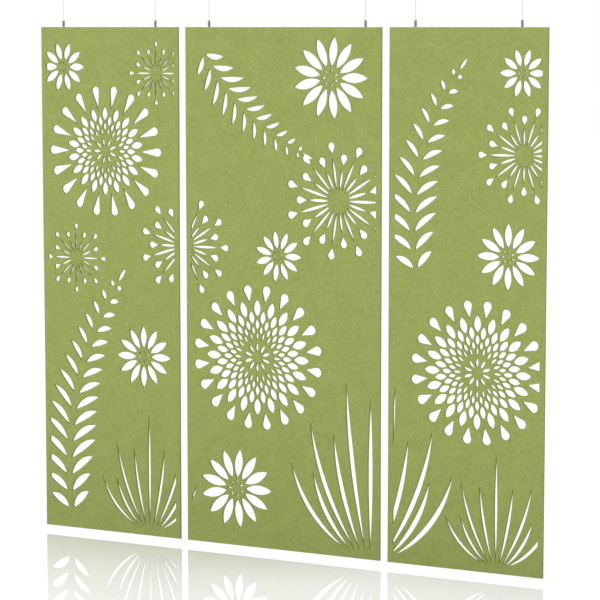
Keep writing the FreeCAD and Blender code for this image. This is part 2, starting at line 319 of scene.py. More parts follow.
class FeltSettings(PropertyGroup):
    """Finish of the pressed felt."""

    edge_softness: length_property("Edge softness", "Radius of a cut edge's corner", 0.8)
    waviness: length_property("Waviness", "How far a hanging board stands out of flat", 1.0)
    main_fibre: colour_property("Main fibre", "The fibre that sets the felt's colour", "#98A65B")
    warm_fibre: colour_property("Warm fibre", "The main fibre where it is yellower", "#9AA952")
    light_fibre: colour_property("Light fibre", "The paler fibre blended in", "#BCC788")
    dark_fibre: colour_property("Dark fibre", "The deeper fibre blended in", "#6F7E38")
    edge_fibre: colour_property("Cut edge", "The dense felt that a cut lays bare", "#97A363")
    edge_layer: colour_property("Cut layer", "The deeper layers in a cut edge", "#7E8A4F")


def fibres(tree, place, heading, shift):
    """Curly fibres that lie about one way in the felt's face, from 0 between them to 1 on them:
    the contour lines along which a noise passes through its middle value, where the noise is
    drawn out three times along that heading."""
    laid = add_node(tree, "ShaderNodeMapping", {
        "Vector": place,
        "Location": (shift, shift, shift),
        "Rotation": (0.0, math.radians(heading), 0.0),
        "Scale": (1.0, 1.0, 3.0),
    }, vector_type="TEXTURE").outputs["Vector"]
    # Real fibres are 0.03 mm thick, so tufts of them 0.4 mm thick are drawn, which show close up.
    noise = add_node(tree, "ShaderNodeTexNoise", {
        "Vector": laid, "Scale": per_metre(3), "Detail": 2.0, "Roughness": 0.6, "Distortion": 0.6,
    }).outputs["Fac"]
    off_line = add_node(tree, "ShaderNodeMath", {0: noise, 1: 0.5},
                        operation="SUBTRACT").outputs["Value"]
    off_line = add_node(tree, "ShaderNodeMath", {0: off_line},
                        operation="ABSOLUTE").outputs["Value"]
    return add_node(tree, "ShaderNodeMapRange", {
        "Value": off_line, "From Min": 0.0, "From Max": 0.045, "To Min": 1.0, "To Max": 0.0,
    }, interpolation_type="SMOOTHSTEP").outputs["Result"]


def clouds(tree, place, millimetres, low, high):
    """A soft cloudy pattern of that size between two values."""
    cloud = add_node(tree, "ShaderNodeTexNoise", {
        "Vector": place, "Scale": per_metre(millimetres), "Detail": 4.0, "Roughness": 0.55,
    }).outputs["Fac"]
    return add_node(tree, "ShaderNodeMapRange", {
        "Value": cloud, "From Min": 0.32, "From Max": 0.68, "To Min": low, "To Max": high,
    }).outputs["Result"]


def pressed_felt(settings):
    """Needled and pressed polyester felt: quite matt, with paler and deeper fibres blended in
    every direction, faint clouds where the blend is uneven, and a nap that pales at a glance."""
    material, tree, output = new_material("pressed_felt")
    place = add_node(tree, "ShaderNodeTexCoord").outputs["Object"]
    lying = [fibres(tree, place, heading, 3.1 * index)
             for index, heading in enumerate((15.0, 60.0, 105.0, 150.0))]
    deep, pale = (add_node(tree, "ShaderNodeMath", {0: one, 1: other},
                           operation="MAXIMUM").outputs["Value"]
                  for one, other in (lying[::2], lying[1::2]))
    colour = add_node(tree, "ShaderNodeMix", {
        0: clouds(tree, place, 30, 0.0, 1.0), 6: settings.main_fibre, 7: settings.warm_fibre,
    }, data_type="RGBA").outputs[2]
    height = add_node(tree, "ShaderNodeTexNoise", {
        "Vector": place, "Scale": per_metre(1.2), "Detail": 4.0, "Roughness": 0.65,
    }).outputs["Fac"]
    # How much of the deep and the pale fibre there is changes from clump to clump. The pale fibre
    # lies on top of the fuzz, and the deep one under it.
    for fibre, tint, clump, rise in (
            (deep, settings.dark_fibre, (9, 0.1, 0.75), -0.4),
            (pale, settings.light_fibre, (14, 0.7, 0.1), 0.6)):
        share = add_node(tree, "ShaderNodeMath", {0: fibre, 1: clouds(tree, place, *clump)},
                         operation="MULTIPLY").outputs["Value"]
        colour = add_node(tree, "ShaderNodeMix", {0: share, 6: colour, 7: tint},
                          data_type="RGBA").outputs[2]
        height = add_node(tree, "ShaderNodeMath", {0: fibre, 1: rise, 2: height},
                          operation="MULTIPLY_ADD").outputs["Value"]
    colour = add_node(tree, "ShaderNodeVectorMath", {
        0: colour, "Scale": clouds(tree, place, 90, 0.96, 1.04),
    }, operation="SCALE").outputs["Vector"]
    bump = add_node(tree, "ShaderNodeBump", {
        "Height": height, "Strength": 0.55, "Distance": 0.3 * MM,
    }).outputs["Normal"]
    shader = add_node(tree, "ShaderNodeBsdfPrincipled", {
        "Base Color": colour, "Normal": bump, "Roughness": 0.92, "Specular IOR Level": 0.2,
        "Sheen Weight": 0.22, "Sheen Roughness": 0.5, "Sheen Tint": (0.9, 1.0, 0.75, 1.0),
    })
    tree.links.new(shader.outputs["BSDF"], output.inputs["Surface"])
    return material


def cut_felt(settings):
    """The cut edge of the same felt: denser, a little deeper in colour and fluffy, with the
    layers of the pressed batt faintly to be seen along the edge."""
    material, tree, output = new_material("cut_felt")
    place = add_node(tree, "ShaderNodeTexCoord").outputs["Object"]
    layered_place = add_node(tree, "ShaderNodeMapping", {
        "Vector": place, "Scale": (1.0, 7.0, 1.0),
    }).outputs["Vector"]
    # The layers are 0.7 mm thick and run on for about 5 mm.
    layers = add_node(tree, "ShaderNodeTexNoise", {
        "Vector": layered_place, "Scale": per_metre(5), "Detail": 3.0, "Roughness": 0.55,
    }).outputs["Fac"]
    # Loose fibre ends stand out as specks half a millimetre across.
    specks = add_node(tree, "ShaderNodeTexNoise", {
        "Vector": place, "Scale": per_metre(1), "Detail": 3.0, "Roughness": 0.7,
    }).outputs["Fac"]
    relief = add_node(tree, "ShaderNodeMath", {0: layers, 1: specks},
                      operation="ADD").outputs["Value"]
    share = add_node(tree, "ShaderNodeMapRange", {
        "Value": relief, "From Min": 0.75, "From Max": 1.25, "To Min": 1.0, "To Max": 0.0,
    }).outputs["Result"]
    colour = add_node(tree, "ShaderNodeMix", {
        0: share, 6: settings.edge_fibre, 7: settings.edge_layer,
    }, data_type="RGBA").outputs[2]
    bump = add_node(tree, "ShaderNodeBump", {
        "Height": relief, "Strength": 0.8, "Distance": 0.4 * MM,
    }).outputs["Normal"]
    shader = add_node(tree, "ShaderNodeBsdfPrincipled", {
        "Base Color": colour, "Normal": bump, "Roughness": 0.95, "Specular IOR Level": 0.15,
        "Sheen Weight": 0.15, "Sheen Roughness": 0.5, "Sheen Tint": (0.9, 1.0, 0.75, 1.0),
    })
    tree.links.new(shader.outputs["BSDF"], output.inputs["Surface"])
    return material


def board_outline(node, longest):
    """The outlines of a board's front face, outer edge and openings alike, as arrays: each
    point's place in (x, z), and the number of the point after it and of the one before it.
    They are the directed edges of the front's triangles that no other triangle runs back along,
    so the felt lies on the left of each, cut in equal parts up to a length."""
    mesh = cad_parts[node].data
    places = np.empty(len(mesh.vertices) * 3, np.float32)
    mesh.vertices.foreach_get("co", places)
    corners = np.empty(len(mesh.loops), np.int32)
    mesh.loops.foreach_get("vertex_index", corners)
    points, merged = np.unique(places.reshape(-1, 3).round(6), axis=0, return_inverse=True)
    triangles = merged.ravel()[corners].reshape(-1, 3)
    front = points[:, 1] < points[:, 1].min() + WELD
    triangles = triangles[front[triangles].all(axis=1)]
    start = triangles.ravel()
    end = np.roll(triangles, -1, axis=1).ravel()
    rim = ~np.isin(start * len(points) + end, end * len(points) + start)
    start, end = start[rim], end[rim]
    number = np.empty(len(points), int)
    number[start] = np.arange(len(start))
    corner = points[start][:, [0, 2]].astype(float)
    outline, first = points_along(corner, corner[number[end]] - corner, longest)
    following = np.arange(len(outline)) + 1
    following[np.append(first[1:], len(outline)) - 1] = first[number[end]]
    before = np.empty(len(outline), int)
    before[following] = np.arange(len(outline))
    return outline, following, before


def into_felt(outline, following, before, longest=1.5):
    """For each outline point, the vector along which a unit offset into the felt keeps the edges
    parallel: the sum of the two edges' left normals, 1 / cos(half the turn) long, up to a limit."""
    edge = outline[following] - outline
    edge /= np.linalg.norm(edge, axis=1, keepdims=True)
    normal = np.stack([-edge[:, 1], edge[:, 0]], axis=1)
    normal_before = normal[before]
    both = normal + normal_before
    long = np.linalg.norm(both, axis=1, keepdims=True).clip(1e-6)
    return both / long * np.minimum(2 / long, longest)


def within_felt(places, start, end, batch=500):
    """Which places lie in the felt: a ray towards +x from such a place crosses the outline's
    edges, given by their start and end points, an odd number of times."""
    slope = (end[:, 0] - start[:, 0]) / np.where(end[:, 1] == start[:, 1], 1, end[:, 1] - start[:, 1])
    odd = []
    for part in np.array_split(places, math.ceil(len(places) / batch)):
        across, up = part[:, :1], part[:, 1:]
        spans = (start[:, 1] > up) != (end[:, 1] > up)
        beyond = start[:, 0] + (up - start[:, 1]) * slope > across
        odd.append((spans & beyond).sum(axis=1) % 2 == 1)
    return np.concatenate(odd)


def felt_fill(rim, following, pitch):
    """Triangles that fill a flat board between its outlines, with a lattice of points at a pitch
    wherever none of the outlines passes nearby, and all points in (x, z)."""
    low, high = rim.min(axis=0), rim.max(axis=0)
    count = np.ceil((high - low) / pitch).astype(int)
    taken = np.zeros(count + 1, bool)
    samples = 8
    share = np.linspace(0, 1, samples, endpoint=False)[:, None, None]
    along = (rim + share * (rim[following] - rim)).reshape(-1, 2)
    taken[tuple(np.rint((along - low) / (high - low) * count).astype(int).T)] = True
    lattice = low + np.argwhere(~taken) / count * (high - low)
    points = np.vstack([rim, lattice])
    edges = np.stack([np.arange(len(rim)), following], axis=1)
    inside_outer_edge = 1
    made = delaunay_2d_cdt([Vector(point) for point in points.tolist()], edges.tolist(), [],
                           inside_outer_edge, 1e-7)
    points = np.array([point[:] for point in made[0]])
    triangles = np.array(made[2])
    a, b, c = (points[triangles[:, corner]] for corner in range(3))
    triangles = triangles[within_felt((a + b + c) / 3, rim, rim[following])]
    a, b, c = (points[triangles[:, corner]] for corner in range(3))
    turned_over = np.cross(b - a, c - a) < 0
    triangles[turned_over] = triangles[turned_over][:, ::-1]
    return points, triangles


def felt_board(node, settings):
    """A board: its front and back fills, and between them its outlines carried through the
    thickness. Ring k of the corner stands r (1 - sin t) into the felt and r (1 - cos t) below the
    face, for t from 0 to a quarter turn."""
    outline, following, before = board_outline(node, MESH_PITCH)
    inward = into_felt(outline, following, before)
    low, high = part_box(node)
    half = (high.y - low.y) / 2
    softness = settings.edge_softness
    turn = np.linspace(0, math.pi / 2, EDGE_RINGS)
    inset = softness * (1 - np.sin(turn))
    level = half - softness * (1 - np.cos(turn))
    inset = np.concatenate([inset, inset[::-1]])
    level = np.concatenate([-level, level[::-1]])
    rings = outline[None] + inset[:, None, None] * inward[None]
    depth = np.broadcast_to(level[:, None], rings.shape[:2])
    walls = np.stack([rings[..., 0], depth, rings[..., 1]], axis=-1).reshape(-1, 3)
    ring = np.arange(len(level) - 1)[:, None] * len(outline)
    here = np.arange(len(outline))[None]
    quads = np.stack([ring + following[None], ring + here, ring + len(outline) + here,
                      ring + len(outline) + following[None]], axis=-1).reshape(-1, 4)
    fill, triangles = felt_fill(rings[0], following, MESH_PITCH)
    front = np.stack([fill[:, 0], np.full(len(fill), -half), fill[:, 1]], axis=1)
    back = front * (1, -1, 1)
    points = np.vstack([walls, front, back])
    points[:, 1] += waviness(points[:, 0], points[:, 2], low, high, settings.waviness)
    triangles = np.vstack([triangles + len(walls),
                           triangles[:, ::-1] + len(walls) + len(fill)])
    # The wall's two outermost bands on each side are the face's felt, and those between are cut.
    band = np.arange(len(level) - 1)
    cut = np.repeat((band > 1) & (band < len(band) - 2), len(outline))
    return points, [quads, triangles], np.concatenate([cut, np.zeros(len(triangles))])


def waviness(across, up, low, high, most):
    """How far a hanging board stands out of flat: two slow sines across and down it, which grow
    smoothly from nothing at the stiff top edge. Where the board's middle stands sets their phase,
    so that no two boards are alike."""
    grown = np.clip((high.z - STIFF_TOP - up) / GROWTH, 0, 1)
    grown = grown * grown * (3 - 2 * grown)
    middle = (low.x + high.x) / 2
    bow = (across - middle) / BOW_ACROSS + (up - high.z) / BOW_DOWN + middle
    roll = (up - high.z) / ROLL_DOWN + 1.7 * middle
    return most * grown * (BOW_SHARE * np.sin(2 * math.pi * bow)
                           + ROLL_SHARE * np.sin(2 * math.pi * roll))


class ACOUSTIC_OT_felt_boards(Operator):
    """Build the three felt boards with their cut-outs and softened edges"""

    bl_idname = "acoustic_panel.felt_boards"
    bl_label = "Felt boards"

    def execute(self, context):
        settings = context.scene.acoustic_felt
        materials = [pressed_felt(settings), cut_felt(settings)]
        for node, (name, body) in BOARDS.items():
            points, faces, cut = felt_board(node, settings)
            board = make_piece(name, points, faces, cut, crease=math.radians(50))
            seat(board, node, body, "felt", *materials)
        return {"FINISHED"}


# Metal finishes

class FittingSettings(PropertyGroup):
    """Sizes and finishes of the cable fittings."""

    rope_lay: length_property("Rope lay", "Length in which a strand winds once round", 10.5)
    knurl_depth: length_property("Knurl depth", "Depth of the grooves in the grips", 0.3)
    corner_softness: length_property("Corner softness", "Broken edge of a turned piece", 0.35)
    aluminium: colour_property("Aluminium", "Satin anodised caps and barrels", "#757676")
    steel: colour_property("Stainless steel", "Wire ropes and balls", "#A9A9A6")
    zinc: colour_property("Zinc plate", "Ceiling bases and hanger bolts", "#B3B7BA")


def metal(name, colour, roughness, line_mm, line_depth_mm, anisotropy):
    """A metal with fine marks left by turning or drawing, as rings along its height."""
    material, tree, output = new_material(name)
    place = add_node(tree, "ShaderNodeTexCoord").outputs["Object"]
    ringed = add_node(tree, "ShaderNodeMapping", {
        "Vector": place, "Scale": (0.04, 0.04, 1.0),
    }).outputs["Vector"]
    lines = add_node(tree, "ShaderNodeTexNoise", {
        "Vector": ringed, "Scale": per_metre(line_mm), "Detail": 5.0, "Roughness": 0.7,
    }).outputs["Fac"]
    smudges = add_node(tree, "ShaderNodeTexNoise", {
        "Vector": place, "Scale": per_metre(6), "Detail": 3.0,
    }).outputs["Fac"]
    rough = add_node(tree, "ShaderNodeMapRange", {
        "Value": smudges, "From Min": 0.3, "From Max": 0.7,
        "To Min": roughness * 0.85, "To Max": roughness * 1.2,
    }).outputs["Result"]
    tone = add_node(tree, "ShaderNodeMapRange", {
        "Value": lines, "From Min": 0.3, "From Max": 0.7, "To Min": 0.9, "To Max": 1.06,
    }).outputs["Result"]
    shaded = add_node(tree, "ShaderNodeVectorMath", {0: colour[:3], "Scale": tone},
                      operation="SCALE").outputs["Vector"]
    bump = add_node(tree, "ShaderNodeBump", {
        "Height": lines, "Strength": 0.6, "Distance": line_depth_mm * MM,
    }).outputs["Normal"]
    shader = add_node(tree, "ShaderNodeBsdfPrincipled", {
        "Base Color": shaded, "Metallic": 1.0, "Roughness": rough, "Normal": bump,
        "Anisotropic": anisotropy,
    })
    tree.links.new(shader.outputs["BSDF"], output.inputs["Surface"])
    return material


def satin_aluminium(settings):
    """Turned aluminium, satin anodised: soft grey sheen with fine rings from the tool."""
    return metal("satin_aluminium", settings.aluminium, 0.36, 0.35, 0.02, 0.3)


def zinc_plated_steel(settings):
    """Bright zinc on turned steel: cool and slightly clouded."""
    return metal("zinc_plated_steel", settings.zinc, 0.3, 0.5, 0.015, 0.0)


def stainless_steel(settings):
    """Drawn or rolled stainless steel: smooth, a little warmer and darker than aluminium."""
    return metal("stainless_steel", settings.steel, 0.22, 0.8, 0.01, 0.0)


# Cables

# Strands round the rope's core, the wires round each strand's, and the rows of points in one lay
STRANDS = 6
WIRES = 6
ROPE_ROWS = 16


def rope_route(name, points):
    """The cord's line, as the points of a NURBS spline through its route."""
    curve = bpy.data.curves.new(name, "CURVE")
    curve.dimensions = "3D"
    curve.resolution_u = 8
    spline = curve.splines.new("NURBS")
    spline.points.add(len(points) - 1)
    spline.points.foreach_set("co", np.column_stack([points, np.ones(len(points))]).ravel())
    spline.order_u = 3
    spline.use_endpoint_u = True
    holder = bpy.data.objects.new(name, curve)
    bpy.context.scene.collection.objects.link(holder)
    bpy.context.view_layer.update()
    line = bpy.data.meshes.new_from_object(holder)
    read = np.empty(len(line.vertices) * 3, np.float32)
    line.vertices.foreach_get("co", read)
    bpy.data.objects.remove(holder)
    bpy.data.curves.remove(curve)
    bpy.data.meshes.remove(line)
    return read.reshape(-1, 3).astype(float)


def strand_outline(radius, samples=4):
    """Outline of a strand of six round wires round one: at the angle d from a wire's middle its
    radius is 2 w cos d + sqrt(w^2 - (2 w sin d)^2), with w a third of the strand's."""
    wire = radius / 3
    angle = np.linspace(0, 2 * math.pi, WIRES * samples, endpoint=False)
    from_wire = (angle * WIRES / (2 * math.pi) + 0.5) % 1 - 0.5
    from_wire = from_wire * 2 * math.pi / WIRES
    reach = 2 * wire * np.cos(from_wire)
    reach += np.sqrt(np.clip(wire ** 2 - (2 * wire * np.sin(from_wire)) ** 2, 0, None))
    return reach * np.cos(angle), reach * np.sin(angle)


def rope_surface(path, radius, lay):
    """Wire rope of six strands round a core: the middle of strand k at the length s along the
    path stands two thirds of the radius out, at the angle 2 pi (s / lay + k / 6). The outline of
    a strand keeps its heading, so that its wires lie along the rope, as in a regular lay."""
    lengths = np.concatenate([[0], np.linalg.norm(np.diff(path, axis=0), axis=1).cumsum()])
    rows = int(lengths[-1] / lay * ROPE_ROWS) + 1
    along = np.linspace(0, lengths[-1], rows)
    middle = np.stack([np.interp(along, lengths, path[:, axis]) for axis in range(3)], axis=1)
    ahead = (path[-1] - path[0]) / np.linalg.norm(path[-1] - path[0])
    aside = np.cross((0.0, 1.0, 0.0), ahead)
    aside /= np.linalg.norm(aside)
    other = np.cross(ahead, aside)
    strand = radius / 3
    across, up = strand_outline(strand)
    points, faces = [], []
    for index in range(STRANDS + 1):
        out = 2 * strand if index < STRANDS else 0
        angle = 2 * math.pi * (along / lay + index / STRANDS)[:, None]
        first = out * np.cos(angle) + across[None]
        second = out * np.sin(angle) + up[None]
        tube = middle[:, None] + first[..., None] * aside + second[..., None] * other
        # A ring drawn in to its middle closes each end.
        foot, top = (np.broadcast_to(ring.mean(axis=1, keepdims=True), ring.shape)
                     for ring in (tube[:1], tube[-1:]))
        tube = np.concatenate([foot, tube, top])
        faces.append(grid_faces(len(tube), len(across)) + sum(map(len, points)))
        points.append(tube.reshape(-1, 3))
    return np.vstack(points), [np.vstack(faces)]


class ACOUSTIC_OT_cables(Operator):
    """Build the six wire ropes"""

    bl_idname = "acoustic_panel.cables"
    bl_label = "Wire ropes"

    def execute(self, context):
        settings = context.scene.acoustic_fittings
        steel = stainless_steel(settings)
        for hanger in HANGERS:
            across, foot, top, radius = measure(f"cable_{hanger}")
            route = [(across, 0.0, foot), (across, 0.0, (foot + top) / 2), (across, 0.0, top)]
            path = rope_route(f"route_{hanger}", route)
            points, faces = rope_surface(path, radius, settings.rope_lay)
            rope = make_piece(f"wire_rope_{hanger}", points, faces, crease=math.radians(80))
            seat(rope, f"cable_{hanger}", f"wire_{hanger}", "wire_rope", steel)
            balls = [finish_node(f"{end}_ball_{hanger}", steel)
                     for end in ("top", "foot")]
        return {"FINISHED"}


# Turned fittings. The sizes inside them are those of the construction model, in millimetres.
BALL_SOCKET = 2.7
THROAT = 1.85
MOUTH = 3.2
SOCKET_DEPTH = 4.5
SEAT_LEVEL = (math.sqrt(2) - 1) * BALL_SOCKET
THROAT_LEVEL = math.sqrt(2) * BALL_SOCKET - THROAT
BASE_HEIGHT = 9.0
CAP_RIM_GAP = 0.5
CAP_THREAD = 9.05
CAP_CHAMFER = 1.0
BARREL_CHAMFER = 0.6
BARREL_THREAD = 2.55
BARREL_BORE_DEPTH = 14.0
STUD_RADIUS = 2.5
STUD_CHAMFER = 0.5
COLLAR_HEIGHT = 1.5
SHANK_RADIUS = 2.4
SHANK_LENGTH = 40.0
SHANK_POINT = 4.0

# Knurls and grooves, in millimetres. A knurl runs from its foot up to its last whole diamond: up
# to a margin below the cap's upper edge, and up to a level on the barrel.
CAP_DIAMONDS = 42
CAP_KNURL_FOOT = 4.0
CAP_KNURL_MARGIN = 3.0
BARREL_DIAMONDS = 26
BARREL_KNURL_FOOT = 2.0
BARREL_KNURL_TOP = 12.5
# Mesh steps across one diamond
KNURL_STEPS = 6
# A groove's width with its flanks, one flank, its depth and how far it lies from the knurl
GROOVE_WIDTH = 0.9
GROOVE_FLANK = 0.2
CAP_GROOVE_DEPTH = 0.25
CAP_GROOVE_GAP = 0.2
BARREL_GROOVE_DEPTH = 0.2
BARREL_GROOVE_GAP = 1.5

# Threads of the hanger bolt, in millimetres: pitch, depth and the mesh steps along them
COARSE_PITCH, COARSE_DEPTH, COARSE_STEP = 3.0, 0.7, 0.3
FINE_PITCH, FINE_DEPTH, FINE_STEP = 0.8, 0.45, 0.12
# Where they start: above the shank's tip, and above the collar
COARSE_START = 0.5
FINE_START = 0.3
# No thread cuts deeper than this share of the radius, which keeps the shank's tip whole.
DEEPEST_SHARE = 0.6
STUD_SIDES = 48
STUD_SOFTNESS = 0.15


def groove(radius, level, depth):
    """The four corners of a fine groove in a turned wall, from its lower edge up."""
    return [(radius, level), (radius - depth, level + GROOVE_FLANK),
            (radius - depth, level + GROOVE_WIDTH - GROOVE_FLANK), (radius, level + GROOVE_WIDTH)]


def knurled_surface(corners, radius, low, high, diamonds, depth, softness):
    """A turned piece with a knurled grip between two levels: its profile's corners are softened,
    and the grip is divided finely enough for its diamonds."""
    pitch = 2 * math.pi * radius / diamonds
    profile = softened(np.array(corners) * MM, softness)
    profile = divided(profile, low * MM, high * MM, pitch / KNURL_STEPS * MM)
    grip = knurl(low * MM, high * MM, radius * MM, diamonds, depth)
    return turned_surface(profile, diamonds * KNURL_STEPS, grip)


def cap_surface(radius, height, settings):
    """Ceiling cap: a cup with a flared mouth, a ball seat over it and a knurled grip between two
    fine grooves on its outside."""
    shoulder = height + CAP_RIM_GAP - BASE_HEIGHT
    low = CAP_KNURL_FOOT
    high = knurl_top(radius, CAP_DIAMONDS, low, height - CAP_KNURL_MARGIN)
    corners = [
        (MOUTH, 0), (radius - CAP_CHAMFER, 0), (radius, CAP_CHAMFER),
        *groove(radius, low - CAP_GROOVE_GAP - GROOVE_WIDTH, CAP_GROOVE_DEPTH),
        *groove(radius, high + CAP_GROOVE_GAP, CAP_GROOVE_DEPTH),
        (radius, height), (CAP_THREAD, height), (CAP_THREAD, shoulder),
        (BALL_SOCKET, shoulder), (BALL_SOCKET, SOCKET_DEPTH - SEAT_LEVEL),
        (THROAT, SOCKET_DEPTH - THROAT_LEVEL),
    ]
    return knurled_surface(corners, radius, low, high, CAP_DIAMONDS, settings.knurl_depth,
                           settings.corner_softness)


class ACOUSTIC_OT_ceiling_fittings(Operator):
    """Build the knurled ceiling caps and finish the bases that carry them"""

    bl_idname = "acoustic_panel.ceiling_fittings"
    bl_label = "Ceiling fittings"

    def execute(self, context):
        settings = context.scene.acoustic_fittings
        aluminium = satin_aluminium(settings)
        zinc = zinc_plated_steel(settings)
        for hanger in HANGERS:
            node = f"ceiling_cap_{hanger}"
            cap = turned_piece(f"knurled_cap_{hanger}", node, cap_surface, settings)
            seat(cap, node, "ceiling_fittings", "satin_aluminium", aluminium)
            finish_node(f"ceiling_base_{hanger}", zinc)
        return {"FINISHED"}


def barrel_surface(radius, height, settings):
    """Barrel: a sleeve with a flared mouth over the ball seat, a knurled grip low down and a fine
    groove above it. Its edges and its knurl are a little finer than the cap's."""
    ball_height = height - SOCKET_DEPTH
    low = BARREL_KNURL_FOOT
    high = knurl_top(radius, BARREL_DIAMONDS, low, BARREL_KNURL_TOP)
    corners = [
        (BARREL_THREAD, 0), (radius - BARREL_CHAMFER, 0), (radius, BARREL_CHAMFER),
        (radius, low), (radius, high),
        *groove(radius, high + BARREL_GROOVE_GAP, BARREL_GROOVE_DEPTH),
        (radius, height - BARREL_CHAMFER), (radius - BARREL_CHAMFER, height), (MOUTH, height),
        (THROAT, ball_height + THROAT_LEVEL), (BALL_SOCKET, ball_height + SEAT_LEVEL),
        (BALL_SOCKET, BARREL_BORE_DEPTH), (BARREL_THREAD, BARREL_BORE_DEPTH),
    ]
    return knurled_surface(corners, radius, low, high, BARREL_DIAMONDS,
                           settings.knurl_depth * 0.8, settings.corner_softness * 0.6)


class ACOUSTIC_OT_barrels(Operator):
    """Build the grey barrels that grip the cables on the boards' top edges"""

    bl_idname = "acoustic_panel.barrels"
    bl_label = "Barrels"

    def execute(self, context):
        settings = context.scene.acoustic_fittings
        aluminium = satin_aluminium(settings)
        for hanger in HANGERS:
            node = f"barrel_{hanger}"
            sleeve = turned_piece(f"cable_barrel_{hanger}", node, barrel_surface, settings)
            seat(sleeve, node, BODY_OF_HANGER[hanger], "satin_aluminium", aluminium)
        return {"FINISHED"}


def stud_surface(collar_radius, height):
    """Hanger bolt: a pointed shank with a coarse thread, a collar and a machine thread over it."""
    collar_top = SHANK_LENGTH + COLLAR_HEIGHT
    corners = [
        (0, 0), (SHANK_RADIUS, SHANK_POINT), (SHANK_RADIUS, SHANK_LENGTH),
        (collar_radius, SHANK_LENGTH), (collar_radius, collar_top), (STUD_RADIUS, collar_top),
        (STUD_RADIUS, height - STUD_CHAMFER), (STUD_RADIUS - STUD_CHAMFER, height), (0, height),
    ]
    profile = softened(np.array(corners) * MM, STUD_SOFTNESS * MM, closed=False)
    profile = divided(profile, 0, SHANK_LENGTH * MM, COARSE_STEP * MM)
    profile = divided(profile, collar_top * MM, height * MM, FINE_STEP * MM)
    coarse = thread(COARSE_START * MM, (SHANK_LENGTH - COARSE_PITCH) * MM, COARSE_PITCH * MM,
                    COARSE_DEPTH * MM)
    fine = thread((collar_top + FINE_START) * MM, (height + FINE_PITCH / 2) * MM,
                  FINE_PITCH * MM, FINE_DEPTH * MM)

    def relief(angle, radius, level):
        cut = coarse(angle, radius, level) + fine(angle, radius, level)
        beside_collar = radius < 0.9 * collar_radius * MM
        return np.minimum(cut, radius * DEEPEST_SHARE) * beside_collar

    return turned_surface(profile, STUD_SIDES, relief, closed=False)


class ACOUSTIC_OT_edge_studs(Operator):
    """Build the threaded hanger bolts between the barrels and the felt"""

    bl_idname = "acoustic_panel.edge_studs"
    bl_label = "Edge studs"

    def execute(self, context):
        zinc = zinc_plated_steel(context.scene.acoustic_fittings)
        for hanger in HANGERS:
            node = f"edge_stud_{hanger}"
            bolt = turned_piece(f"hanger_bolt_{hanger}", node, stud_surface)
            seat(bolt, node, BODY_OF_HANGER[hanger], "zinc_plated_steel", zinc)
        return {"FINISHED"}


# Studio

# Each soft box: where it stands, its width and its power in watts. All point at one spot.
LAMPS = {
    "front_left": ((-4.5, -6.5, 1.6), 3.5, 198),
    "front_right": ((5.5, -6.0, 1.2), 3.5, 152),
    "behind": ((1.0, 6.5, 2.0), 4.0, 205),
}
LIT_SPOT = (0.0, 0.0, -1.2)
# From the middle of the floor to its edges, far enough for every view
FLOOR_REACH = 40.0


class StageSettings(PropertyGroup):
    """Camera, floor and room light of the studio."""

    camera_place: FloatVectorProperty(name="Camera place", description="Where the camera stands",
                                      subtype="TRANSLATION", size=3,
                                      default=(5.263, -9.986, -0.159))
    camera_heading: FloatProperty(name="Camera heading", description="Its turn about the vertical",
                                  subtype="ANGLE", default=math.radians(27.37))
    camera_pitch: FloatProperty(name="Camera pitch", description="How far it looks down",
                                subtype="ANGLE", default=math.radians(6.39))
    camera_lens: FloatProperty(name="Focal length", description="In millimetres, on a 36 mm sensor",
                               default=146.9)
    floor_gap: length_property("Floor gap", "Height of the boards above the floor", 26)
    left_gloss: FloatProperty(name="Gloss on the left", min=0,
                              description="How far the floor is polished beside the set's left end",
                              default=1.42)
    right_gloss: FloatProperty(name="Gloss on the right", min=0,
                               description="How far it is polished beside the set's right end",
                               default=0.92)
    far_gloss: FloatProperty(name="Gloss further off", min=0,
                             description="How far the floor is polished 1.3 m away",
                             default=0.72)
    sky: FloatProperty(name="Room light", description="Strength of the even light from all round",
                       default=0.47)


def looked_at(tree):
    """1 for what the camera, a mirror or glass sees, and 0 for light thrown on to something."""
    seen = add_node(tree, "ShaderNodeLightPath").outputs
    mirrored = add_node(tree, "ShaderNodeMath", {
        0: seen["Is Camera Ray"], 1: seen["Is Glossy Ray"],
    }, operation="MAXIMUM").outputs["Value"]
    return add_node(tree, "ShaderNodeMath", {
        0: mirrored, 1: seen["Is Transmission Ray"],
    }, operation="MAXIMUM").outputs["Value"]


